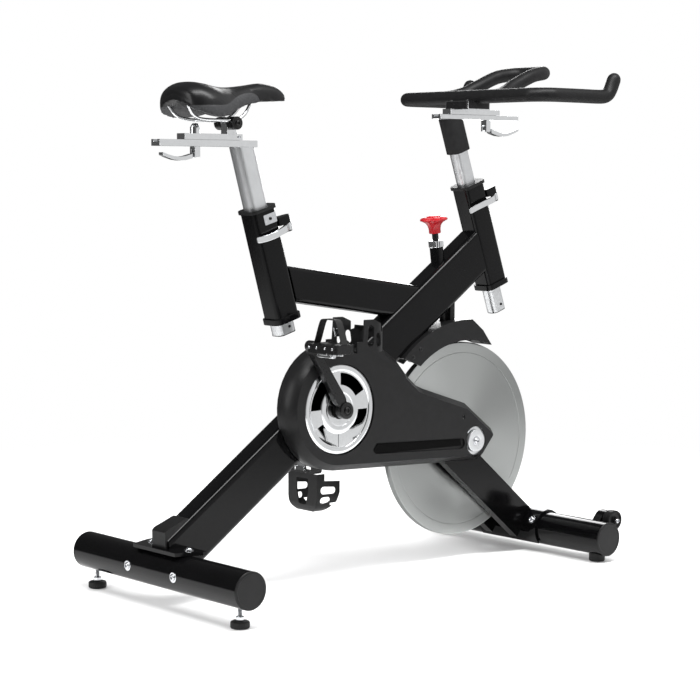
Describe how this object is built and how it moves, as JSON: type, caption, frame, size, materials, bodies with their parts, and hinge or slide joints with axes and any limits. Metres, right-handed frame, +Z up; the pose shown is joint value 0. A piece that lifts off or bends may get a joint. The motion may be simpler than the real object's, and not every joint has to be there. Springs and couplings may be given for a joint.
{
  "type": "exercise bike",
  "caption": "Indoor cycling exercise bike with a belt-driven flywheel, friction brake knob, toe-cage pedals, and a saddle and handlebar that slide up, down, fore and aft.",
  "frame": {"origin": "on the floor, under the centre of the bounding box", "axes": "+X towards the front of the bike, +Y towards the rider's left, +Z up"},
  "size_m": [1.2, 0.584, 1.1767],
  "materials": {
    "gloss_black": "gloss black powder coat",
    "satin_black": "satin moulded black plastic",
    "rubber": "matte black rubber",
    "grip": "matte black dipped grip",
    "saddle_cover": "padded black vinyl",
    "foam": "matte black foam",
    "red": "gloss red moulded plastic",
    "chrome": "bright chrome plate",
    "satin_steel": "satin brushed",
    "zinc": "bright zinc plate",
    "machine_black": "satin black"
  },
  "bodies": {
    "frame": {"main_beam": "gloss_black", "beam_end_cap": "satin_black", "seat_tube": "gloss_black", "head_tube": "gloss_black", "seat_tube_bush": "satin_black", "head_tube_bush": "satin_black", "top_tube": "gloss_black", "right_fork_leg": "gloss_black", "left_fork_leg": "gloss_black", "front_bracket": "gloss_black", "rear_stabiliser": "gloss_black", "front_stabiliser": "gloss_black", "rear_right_end_cap": "satin_black", "rear_left_end_cap": "satin_black", "front_right_end_cap": "satin_black", "front_left_end_cap": "satin_black", "front_right_pad": "rubber", "front_left_pad": "rubber", "bottom_bracket": "zinc", "drive_belt": "rubber", "drive_cover_outer": "satin_black", "dropout_cover": "satin_black", "drive_cover_inner": "satin_black", "fender": "satin_black", "brake_guide_nut": "chrome"},
    "rear_foot_right": {"rear_right_foot": "rubber"},
    "rear_foot_left": {"rear_left_foot": "rubber"},
    "transport_wheel_right": {"right_transport_wheel": "satin_black"},
    "transport_wheel_left": {"left_transport_wheel": "satin_black"},
    "crankset": {"crank_axle": "satin_steel", "drive_pulley": "satin_black", "pulley_spider": "chrome", "right_crank": "machine_black", "left_crank": "machine_black"},
    "pedal_right": {"right_pedal": "machine_black", "right_toe_cage": "satin_black", "right_toe_strap": "rubber"},
    "pedal_left": {"left_pedal": "machine_black", "left_toe_cage": "satin_black", "left_toe_strap": "rubber"},
    "flywheel_assembly": {"flywheel": "satin_steel", "flywheel_axle": "satin_steel"},
    "brake_plunger": {"brake_rod": "satin_steel"},
    "brake_dial": {"brake_knob": "red"},
    "brake_shoe": {"brake_arm": "satin_black"},
    "seat_column": {"seat_post": "satin_steel", "seat_rail": "chrome"},
    "seat_slider": {"seat_carriage": "chrome"},
    "saddle_assembly": {"saddle": "saddle_cover", "saddle_rails": "chrome", "saddle_clamp": "satin_steel"},
    "seat_lever": {"seat_slider_lever": "chrome"},
    "seat_clamp": {"seat_clamp_lever": "chrome"},
    "handlebar_column": {"handlebar_post": "satin_steel", "post_sleeve": "foam", "handlebar_rail": "chrome"},
    "handlebar_slider": {"handlebar_carriage": "chrome", "handlebar": "grip"},
    "handlebar_lever": {"handlebar_slider_lever": "chrome"},
    "head_clamp": {"head_clamp_lever": "chrome"}
  },
  "joints": [
    {"name": "flywheel_spin", "type": "hinge", "parent": "frame", "child": "flywheel_assembly", "pos_m": [0.287, 0, 0.2886], "axis": [0, 1, 0], "continuous": true},
    {"name": "crank_spin", "type": "hinge", "parent": "frame", "child": "crankset", "pos_m": [-0.139, 0, 0.395], "axis": [0, 1, 0], "continuous": true},
    {"name": "pedal_right_spin", "type": "hinge", "parent": "crankset", "child": "pedal_right", "pos_m": [-0.23431, -0.1565, 0.54177], "axis": [0, 1, 0], "continuous": true},
    {"name": "pedal_left_spin", "type": "hinge", "parent": "crankset", "child": "pedal_left", "pos_m": [-0.04369, 0.1565, 0.24823], "axis": [0, 1, 0], "continuous": true},
    {"name": "brake_push", "type": "slide", "parent": "frame", "child": "brake_plunger", "axis": [0.134, 0, -0.991], "range_m": [0, 0.003], "stiffness_N_per_m": 2000, "springref_m": -0.004},
    {"name": "brake_knob_turn", "type": "hinge", "parent": "brake_plunger", "child": "brake_dial", "pos_m": [0.22001, 0, 0.78409], "axis": [0.134, 0, -0.991], "range_deg": [0, 900]},
    {"name": "brake_pad_advance", "type": "slide", "parent": "brake_plunger", "child": "brake_shoe", "axis": [0.134, 0, -0.991], "range_m": [0, 0.003]},
    {"name": "seat_height", "type": "slide", "parent": "frame", "child": "seat_column", "axis": [-0.279, 0, 0.9603], "range_m": [-0.09, 0.12]},
    {"name": "seat_fore_aft", "type": "slide", "parent": "seat_column", "child": "seat_slider", "axis": [1, 0, 0], "range_m": [-0.06, 0.038]},
    {"name": "saddle_tilt", "type": "hinge", "parent": "seat_slider", "child": "saddle_assembly", "pos_m": [-0.39, 0, 1.021], "axis": [0, 1, 0], "range_deg": [-10, 10]},
    {"name": "seat_slider_lever_turn", "type": "hinge", "parent": "seat_slider", "child": "seat_lever", "pos_m": [-0.478, 0, 0.955], "axis": [0, 1, 0], "range_deg": [-95, 0]},
    {"name": "seat_clamp_lever_turn", "type": "hinge", "parent": "frame", "child": "seat_clamp", "pos_m": [-0.24243, -0.02, 0.80077], "axis": [-0.279, 0, 0.9603], "range_deg": [0, 110]},
    {"name": "handlebar_height", "type": "slide", "parent": "frame", "child": "handlebar_column", "axis": [-0.3289, 0, 0.9444], "range_m": [-0.07, 0.12]},
    {"name": "handlebar_fore_aft", "type": "slide", "parent": "handlebar_column", "child": "handlebar_slider", "axis": [1, 0, 0], "range_m": [-0.032, 0.06]},
    {"name": "handlebar_slider_lever_turn", "type": "hinge", "parent": "handlebar_slider", "child": "handlebar_lever", "pos_m": [0.386, 0, 1.023], "axis": [0, 1, 0], "range_deg": [0, 95]},
    {"name": "head_clamp_lever_turn", "type": "hinge", "parent": "frame", "child": "head_clamp", "pos_m": [0.3957, -0.02, 0.86277], "axis": [-0.3289, 0, 0.9444], "range_deg": [0, 110]},
    {"name": "transport_wheel_right_spin", "type": "hinge", "parent": "frame", "child": "transport_wheel_right", "pos_m": [0.576, -0.25, 0.09], "axis": [0, 1, 0], "continuous": true},
    {"name": "transport_wheel_left_spin", "type": "hinge", "parent": "frame", "child": "transport_wheel_left", "pos_m": [0.576, 0.25, 0.09], "axis": [0, 1, 0], "continuous": true},
    {"name": "rear_foot_right_adjust", "type": "slide", "parent": "frame", "child": "rear_foot_right", "axis": [0, 0, 1], "range_m": [0, 0.008]},
    {"name": "rear_foot_left_adjust", "type": "slide", "parent": "frame", "child": "rear_foot_left", "axis": [0, 0, 1], "range_m": [0, 0.008]}
  ],
  "couplings": [
    {"joint": "crank_spin", "follows": "flywheel_spin", "ratio": 0.3077},
    {"joint": "brake_pad_advance", "follows": "brake_knob_turn", "m_per_rad": 0.00019}
  ]
}
